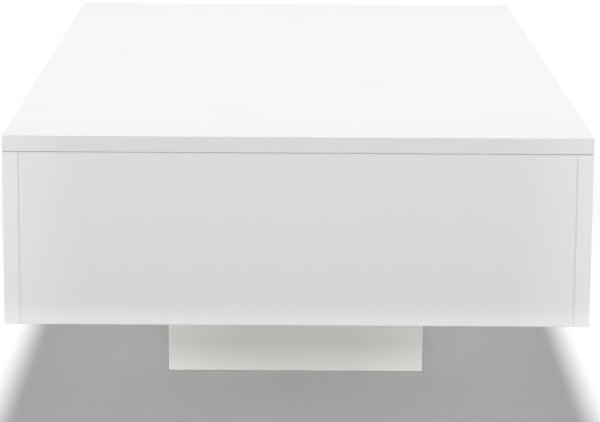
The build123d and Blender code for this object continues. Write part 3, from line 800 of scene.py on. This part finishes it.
def seats(node, upward=False):
    """Where each fastener of a CAD node sits: a matrix from a model that hangs down from the
    origin, its head up, and a roll that differs from one to the next."""
    places = []
    for count, points in enumerate(solids_in(node)):
        low = Vector(map(min, zip(*points)))
        high = Vector(map(max, zip(*points)))
        middle = (low + high) / 2
        extents = high - low
        # Two extents of a round fastener are its width, and the one that differs is its length
        axis = max(range(3), key=lambda i: abs(extents[i] - sorted(extents)[1]))
        spread = []
        for end in (low, high):
            there = [p for p in points if abs(p[axis] - end[axis]) < end_zone]
            spread.append(max((p - middle).length_squared - (p - middle)[axis] ** 2 for p in there))
        outward = Vector((0, 0, 0))
        outward[axis] = 1.0 if upward or spread[1] > spread[0] else -1.0
        start = middle.copy()
        start[axis] = high[axis] if outward[axis] > 0 else low[axis]
        turn = Vector((0, 0, 1)).rotation_difference(outward).to_matrix().to_4x4()
        roll = Matrix.Rotation(roll_step * count, 4, "Z")
        places.append(Matrix.Translation(start) @ turn @ roll)
    return places


# ---- Fasteners ----

round_steps = 48

head_radius = 4.0 * mm
head_height = 2.4 * mm
head_crown = 1.5 * mm
head_profile = 0.6  # how full the crown is
head_easing = 0.2 * mm
shank_radius = 2.0 * mm
thread_root = 1.45 * mm
thread_pitch = 1.5 * mm
thread_ridge = ((thread_root, 0.3), (shank_radius, 0.45), (shank_radius, 0.55), (thread_root, 0.7))
thread_steps = 20
recess_reach = 4.6 * mm
recess_width = 0.85 * mm
recess_depth = 1.5 * mm
recess_taper = (0.35, 0.7, 1)  # a slot's foot as shares of its mouth

cap_radius = 8.5 * mm
cap_thickness = 1.0 * mm
cap_easing = 0.6 * mm
cap_steps = 64
# The rings of a cap's face from its rim inwards: width and rise
cap_rings = (
    (1.5 * mm, 0.0),
    (0.25 * mm, -0.18 * mm),
    (3.4 * mm, -0.05 * mm),
    (0.2 * mm, 0.15 * mm),
)
cap_shoulder = 6.1 * mm
cap_plug = 2.0 * mm
cap_plug_easing = 0.3 * mm

plug_radius = 6.0 * mm
plug_thickness = 2.0 * mm
plug_easing = 0.35 * mm
plug_rings = ((0.5 * mm, 0.0), (0.15 * mm, -0.1 * mm))
plug_wall = 1.0 * mm
plug_hollow = 1.2 * mm

button_radius = 4.0 * mm
button_head = 1.25 * mm
button_dome = 0.9 * mm
button_steps = 40
button_shoulder = 1.5 * mm
button_stem = 5.0 * mm
button_stem_easing = 0.5 * mm

clip_outer = 8.0 * mm
clip_inner = 5.0 * mm
clip_thickness = 1.2 * mm
clip_steps = 96
clip_bore_steps = 64
clip_mouth = 1.45 * clip_inner
clip_relief = 1.1 * mm
clip_relief_ring = (clip_inner + clip_outer) / 2 * 0.9
clip_relief_turns = (58, 118)  # degrees from the mouth, to either side
clip_relief_steps = 32
clip_easing = 0.12 * mm
clip_sharp = 50  # degrees between faces, past which an edge is eased


def ease_rim(piece, height, width, segments, **settings):
    """Rounds a round piece's edge at one height."""
    pick_rim(piece, height)
    bpy.ops.mesh.bevel(offset=width, segments=segments, **settings)


def inset_rings(rings):
    """Steps the face that is selected inwards, ring by ring."""
    for width, rise in rings:
        bpy.ops.mesh.inset(thickness=width, depth=rise)


def drawn_down(shoulder, length):
    """Insets the face that is selected by a shoulder and draws what's left down by length, or up
    where that's negative."""
    bpy.ops.mesh.inset(thickness=shoulder, depth=0)
    bpy.ops.mesh.extrude_region_move(TRANSFORM_OT_translate={"value": (0, 0, -length)})


def drawn_line(points):
    """An open line through points, drawn from one end to the other."""
    line = fresh(bpy.ops.mesh.primitive_plane_add, size=mm, location=(0, 0, 0))
    bpy.ops.object.mode_set(mode="EDIT")
    bpy.ops.mesh.select_mode(type="VERT")
    bpy.ops.mesh.select_all(action="SELECT")
    bpy.ops.mesh.merge(type="CENTER")
    bpy.ops.transform.translate(value=points[0])
    for before, after in zip(points, points[1:]):
        step = Vector(after) - Vector(before)
        bpy.ops.mesh.extrude_vertices_move(TRANSFORM_OT_translate={"value": step})
    bpy.ops.object.mode_set(mode="OBJECT")
    return line


def close_end(shank, at_end, apex_height):
    """Draws the open edge at one end of a shank together into a point on its axis."""
    bpy.ops.object.mode_set(mode="EDIT")
    bpy.ops.mesh.select_mode(type="EDGE")
    bpy.ops.mesh.select_all(action="DESELECT")
    bpy.ops.mesh.select_non_manifold()
    shape = bmesh.from_edit_mesh(shank.data)
    for edge in shape.edges:
        if edge.select and not at_end((edge.verts[0].co.z + edge.verts[1].co.z) / 2):
            edge.select_set(False)
    shape.select_flush_mode()
    bmesh.update_edit_mesh(shank.data)
    bpy.ops.mesh.extrude_edges_move(TRANSFORM_OT_translate={"value": (0, 0, 0)})
    bpy.ops.mesh.select_mode(type="VERT")
    bpy.ops.mesh.merge(type="CENTER")
    shape = bmesh.from_edit_mesh(shank.data)
    apex = next(vert for vert in shape.verts if vert.select)
    bpy.ops.transform.translate(value=(-apex.co.x, -apex.co.y, apex_height - apex.co.z))
    bpy.ops.object.mode_set(mode="OBJECT")


def threaded_shank(length):
    """A wood screw's shank: a thread along it, and a point."""
    turns = int((length - 2 * thread_pitch) / thread_pitch)
    profile = [(thread_root, 0, 0)]
    profile += [(radius, 0, -share * thread_pitch) for radius, share in thread_ridge]
    profile.append((thread_root, 0, -thread_pitch))
    shank = drawn_line(profile)
    modified(
        shank,
        "SCREW",
        screw_offset=-thread_pitch,
        iterations=turns,
        steps=thread_steps,
        render_steps=thread_steps,
        use_merge_vertices=False,
    )
    put_down(shank)
    middle = -(turns + 1) * thread_pitch / 2
    inside_head = 0.4 * head_height
    close_end(shank, lambda height: height > middle, inside_head)
    close_end(shank, lambda height: height < middle, -length)
    put_down(shank)
    return shank


def recess_cutter(angle):
    """One tapering slot of a cross recess."""
    size = (recess_reach, recess_width, 2 * recess_depth)
    slot = fresh(bpy.ops.mesh.primitive_cube_add, size=1, location=(0, 0, 0), scale=size)
    bpy.ops.object.transform_apply(scale=True)
    pick_bottom(slot)
    bpy.ops.transform.resize(value=recess_taper)
    bpy.ops.object.mode_set(mode="OBJECT")
    slot.data.transform(Matrix.Rotation(angle, 4, "Z"))
    return slot


def pan_head_screw(length):
    """A pan head wood screw with a cross recess, its head's crown at the origin."""
    head = round_blank(head_radius, head_height, round_steps)
    ease_rim(head, 0.0, head_crown, segments=6, profile=head_profile)
    ease_rim(head, -head_height, head_easing, segments=2)
    bpy.ops.object.mode_set(mode="OBJECT")
    for angle in (0.0, math.pi / 2):
        cut(head, recess_cutter(angle))
    shank = threaded_shank(length)
    shank.data.transform(Matrix.Translation((0, 0, -head_height)))
    return joined([head, shank])


def cam_cover_cap():
    """A cover cap: a rounded disc with a stepped ring and, behind, a plug for the cam's drive."""
    cap = round_blank(cap_radius, cap_thickness, cap_steps)
    ease_rim(cap, 0.0, cap_easing, segments=5)
    pick_top(cap)
    inset_rings(cap_rings)
    pick_bottom(cap)
    drawn_down(cap_shoulder, cap_plug)
    bpy.ops.mesh.bevel(offset=cap_plug_easing, segments=2)
    put_down(cap)
    return cap


def floor_cover_plug():
    """A flush plug: a disc with an eased rim and a slightly sunk face, hollow underneath."""
    plug = round_blank(plug_radius, plug_thickness, round_steps)
    ease_rim(plug, 0.0, plug_easing, segments=4)
    pick_top(plug)
    inset_rings(plug_rings)
    pick_bottom(plug)
    drawn_down(plug_wall, -plug_hollow)
    put_down(plug)
    return plug


def lid_bumper():
    """A soft button with a domed head and a stem."""
    button = round_blank(button_radius, button_head, button_steps)
    ease_rim(button, 0.0, button_dome, segments=7)
    pick_bottom(button)
    drawn_down(button_shoulder, button_stem)
    bpy.ops.mesh.bevel(offset=button_stem_easing, segments=3)
    put_down(button)
    return button


def retaining_clip():
    """A stamped clip: lugs that reach the pin's groove, relief between them, and an open mouth."""
    clip = round_blank(clip_outer, clip_thickness, clip_steps)
    through = 4 * clip_thickness

    def hole(radius, place, sides):
        settings = {"vertices": sides, "radius": radius, "depth": through, "location": place}
        cut(clip, fresh(bpy.ops.mesh.primitive_cylinder_add, **settings))

    hole(clip_inner, (0, 0, 0), clip_bore_steps)
    mouth = {"location": (clip_outer, 0, 0), "scale": (clip_outer * 2, clip_mouth, through)}
    cut(clip, fresh(bpy.ops.mesh.primitive_cube_add, size=1, **mouth))
    for turn in clip_relief_turns:
        angle = math.radians(turn)
        x, y = clip_relief_ring * math.cos(angle), clip_relief_ring * math.sin(angle)
        for side in (-1, 1):
            hole(clip_relief, (x, side * y, 0), clip_relief_steps)
    easing = {"segments": 2, "limit_method": "ANGLE", "angle_limit": math.radians(clip_sharp)}
    return modified(clip, "BEVEL", width=clip_easing, **easing)


# ---- Mechanism parts ----

wire = 3.5 * mm
wire_steps = 20
coil_radius = 15.0 * mm
coil_pitch = 3.8 * mm
coil_setback = 8.0 * mm  # from the arm's inner face to the coil's end
coil_sweep = math.radians(3010.75)  # from the leg on the post to the leg on the arm's pin
coil_start_angle = math.radians(169.03)
coil_steps = 40  # to the turn
post_leg = 28.57 * mm
pin_leg = 34.6 * mm
leg_inset = 0.3 * mm
leg_easing = 0.25 * mm  # how far a leg's eased end reaches past its straight wire
arm_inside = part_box("front_arm_right")[0].x
coil_length = coil_pitch * coil_sweep / (2 * math.pi)
coil_end = arm_inside - coil_setback
coil_start = coil_end - coil_length

sleeve_outer = 6.0 * mm
sleeve_bore = 3.0 * mm
sleeve_length = 5.4 * mm
sleeve_easing = 0.5 * mm

tube_low, tube_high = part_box("torque_tube")
tube_radius = (tube_high.z - tube_low.z) / 2
bead_size = 1.9 * mm
bead_steps = 90
bead_sides = 14
bead_offset = 0.15 * bead_size  # the bead's own middle stands this far out from the tube
bead_overlap = 0.35 * bead_size  # and this far in from the tube's end
bead_ripple = 3  # steps from one ripple to the next
bead_swells = (0.22 * mm, 0.1 * mm)  # of the first and second step of a ripple


def extruded_leg(spring, centre, run):
    """Draws the wire's open end at centre out by run, then closes it with a cut, eased end."""
    reach = wire * 0.51  # just past the wire's own radius
    pick(spring, "VERT", lambda place, normal: (place - centre).length < reach)
    bpy.ops.mesh.extrude_edges_move(TRANSFORM_OT_translate={"value": run})
    bpy.ops.mesh.edge_face_add()
    bpy.ops.mesh.inset(thickness=leg_inset, depth=leg_easing)
    bpy.ops.object.mode_set(mode="OBJECT")


def torsion_spring():
    """The right-hand lift spring: close turns around the tube and a straight leg at each end."""
    spring = fresh(bpy.ops.mesh.primitive_circle_add, vertices=wire_steps, radius=wire / 2)
    bpy.ops.object.mode_set(mode="EDIT")
    bpy.ops.mesh.select_all(action="SELECT")
    bpy.ops.transform.translate(value=(coil_start, coil_radius, 0))
    bpy.ops.object.mode_set(mode="OBJECT")
    spring.data.transform(Matrix.Rotation(coil_start_angle, 4, "X"))
    steps = round(coil_steps * coil_sweep / (2 * math.pi))
    modified(
        spring,
        "SCREW",
        axis="X",
        angle=-coil_sweep,
        screw_offset=coil_length,
        steps=steps,
        render_steps=steps,
        use_merge_vertices=False,
    )
    climb = coil_pitch / (2 * math.pi)
    for angle, x, length in (
        (coil_start_angle, coil_start, leg_easing - post_leg),
        (coil_start_angle - coil_sweep, coil_end, pin_leg - leg_easing),
    ):
        centre = Vector((x, coil_radius * math.cos(angle), coil_radius * math.sin(angle)))
        onward = Vector((climb, coil_radius * math.sin(angle), -coil_radius * math.cos(angle)))
        extruded_leg(spring, centre, onward.normalized() * length)
    spring.data.transform(Matrix.Translation((0, front_pivot.y, front_pivot.z)))
    put_down(spring)
    return spring


def stop_sleeve():
    """A rubber tube with eased ends."""
    sleeve = round_blank(sleeve_outer, sleeve_length, round_steps)
    pick(sleeve, "FACE", lambda place, normal: abs(normal.z) > facing)
    bpy.ops.mesh.inset(thickness=sleeve_outer - sleeve_bore, depth=0, use_individual=True)
    bpy.ops.mesh.bridge_edge_loops()
    for height in (0.0, -sleeve_length):
        ease_rim(sleeve, height, sleeve_easing, segments=4)
    put_down(sleeve)
    return sleeve


def weld_bead():
    """The rippled fillet weld round the torque tube, its middle at the origin."""
    bead = fresh(
        bpy.ops.mesh.primitive_torus_add,
        major_radius=tube_radius + bead_offset,
        minor_radius=bead_size,
        major_segments=bead_steps,
        minor_segments=bead_sides,
        location=(0, 0, 0),
    )
    for count, swell in enumerate(bead_swells):

        def in_ripple(place, _, count=count):
            step = round(math.atan2(place.y, place.x) * bead_steps / (2 * math.pi))
            return step % bead_ripple == count

        pick(bead, "VERT", in_ripple)
        bpy.ops.transform.shrink_fatten(value=swell)
    bpy.ops.object.mode_set(mode="OBJECT")
    return bead


# ---- The table put together ----

mirrored = Matrix.Scale(-1, 4, (1, 0, 0))
board_seeds = 3.1  # from one board's seed to the next
steel_seeds = 2.3

zinc = zinc_steel("zinc_plate", seed=3.0)
zinc_clips = zinc_steel("zinc_plate_clips", seed=8.0)
cap_plastic = white_plastic("cap_plastic", seed=2.0)
wire_finish = spring_steel("spring_wire", seed=4.0)
rubber = black_rubber("stop_rubber", seed=1.0)
tube_coat = black_steel("tube_coat", seed=7.0)


def make_fasteners():
    """The screws, cover caps, floor plugs, lid bumpers and clips, each in its CAD node's places."""
    for name, node, body, length in (
        ("pan_head_screws_plates", "base_plate_screws", "carcass", 14.0 * mm),
        ("pan_head_screws_lid", "lid_bracket_screws", "lid", 12.0 * mm),
        ("pan_head_screws_plinth", "plinth_block_screws", "carcass", 35.0 * mm),
    ):
        screws = placed(pan_head_screw(length), seats(node))
        finished(screws, name, zinc, "zinc_steel", body, node)
    caps = placed(cam_cover_cap(), seats("cam_cover_caps"))
    finished(caps, "cover_caps", cap_plastic, "white_plastic", "carcass", "cam_cover_caps")
    plugs = placed(floor_cover_plug(), seats("floor_cover_plugs", upward=True))
    finished(plugs, "cover_plugs", cap_plastic, "white_plastic", "carcass", "floor_cover_plugs")
    bumpers = placed(lid_bumper(), seats("lid_bumpers"))
    urethane = clear_bumper("clear_urethane", seed=5.0)
    finished(bumpers, "bumper_buttons", urethane, "clear_bumper", "carcass", "lid_bumpers")
    for name, node, body in (
        ("spring_clips_rear_arms", "rear_arm_clips", "carcass"),
        ("spring_clips_lid", "lid_pin_clips", "lid"),
    ):
        clips = placed(retaining_clip(), seats(node))
        finished(clips, name, zinc_clips, "zinc_steel", body, node)


def make_mechanism():
    """The two lift springs, the stops' rubber sleeves and the welds of the torque tube."""
    model = torsion_spring()
    for side, sign, turn in (("right", 1, Matrix.Identity(4)), ("left", -1, mirrored)):
        spring = copied(model, turn)
        node = "torsion_spring_" + side
        finished(spring, "lift_spring_" + side, wire_finish, "spring_steel", None, node, sharp=45.0)
        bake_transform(spring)
    bpy.data.objects.remove(model)
    sleeves = placed(stop_sleeve(), seats("stop_sleeves"))
    finished(sleeves, "stop_rollers", rubber, "black_rubber", "carcass", "stop_sleeves")
    at_arm = Matrix.Translation((tube_high.x - bead_overlap, front_pivot.y, front_pivot.z))
    at_arm = at_arm @ Matrix.Rotation(math.pi / 2, 4, "Y")
    beads = placed(weld_bead(), [at_arm, mirrored @ at_arm])
    finished(beads, "weld_beads", tube_coat, "black_steel", "lift_arms", sharp=60.0)


def dress(finish, *dressed):
    """CAD nodes in their finish."""
    for node in dressed:
        nodes[node].data.materials.clear()
        nodes[node].data.materials.append(finish)


def dress_nodes():
    """The finish of every CAD node that still shows."""
    neutral = (1.0, 1.0, 1.003)
    painted_cool = (1.0, 1.0, 1.02)
    painted_warm = (1.0, 0.981, 0.937)
    # Each board with its whiteness, tint and handling; the whites and tints are painted light: the
    # lid is darker and the side panels paler than the end panels, the body's boards are tinted
    # cool, and the plinth's warm tint is painted warm bounce light
    boards = (
        ("lid_panel", 0.832, neutral, 1.0),
        ("end_panel_left", 0.855, painted_cool, 0.0),
        ("end_panel_right", 0.855, painted_cool, 0.0),
        ("side_panel_front", 0.875, painted_cool, 0.3),
        ("side_panel_rear", 0.875, painted_cool, 0.0),
        ("bottom_panel", 0.85, painted_cool, 0.5),
        ("plinth_panel_left", 0.89, painted_warm, 0.0),
        ("plinth_panel_right", 0.89, painted_warm, 0.0),
        ("plinth_panel_front", 0.89, painted_warm, 0.0),
        ("plinth_panel_rear", 0.89, painted_warm, 0.0),
    )
    for count, (node, white, tint, handled) in enumerate(boards):
        dress(lacquer("lacquer_" + node, board_seeds * count, white, tint, handled), node)
    steel = (
        ("base_plate_left", (front_pivot, rear_pivot)),
        ("base_plate_right", (front_pivot, rear_pivot)),
        ("front_arm_left", (front_pivot, front_top)),
        ("front_arm_right", (front_pivot, front_top)),
        ("rear_arm_left", (rear_pivot, rear_top)),
        ("rear_arm_right", (rear_pivot, rear_top)),
        ("lid_bracket_left", (front_top, rear_top)),
        ("lid_bracket_right", (front_top, rear_top)),
    )
    for count, (node, worn_at) in enumerate(steel):
        dress(black_steel("powder_coat_" + node, steel_seeds * count, worn_at), node)
    dress(tube_coat, "torque_tube")
    bush_nylon = nylon("bush_nylon", seed=6.0)
    dress(bush_nylon, "tube_bushes", "front_arm_bushes")
    dress(bush_nylon, "rear_arm_bushes_left", "rear_arm_bushes_right")
    dress(nylon("glide_nylon", seed=9.0), "floor_glides")
    dress(zinc, "cam_bolts", "plinth_top_screws", "front_arm_studs", "rear_arm_studs")
    dress(zinc, "spring_posts", "stop_pins", "spring_pins", "lid_pins")
    dress(cast_cam("cam_casting", seed=2.0), "cam_locks")
    beech = raw_wood("turned_beech", 4.0, pale=(0.62, 0.46, 0.30), dark=(0.45, 0.30, 0.17))
    dress(beech, "dowels")
    pine = raw_wood("sawn_pine", 1.0, pale=(0.70, 0.53, 0.33), dark=(0.50, 0.32, 0.16))
    dress(pine, "plinth_corner_blocks")


set_camera()
set_stage()
set_light()
make_fasteners()
make_mechanism()
dress_nodes()
bpy.context.scene.view_settings.view_transform = "Standard"
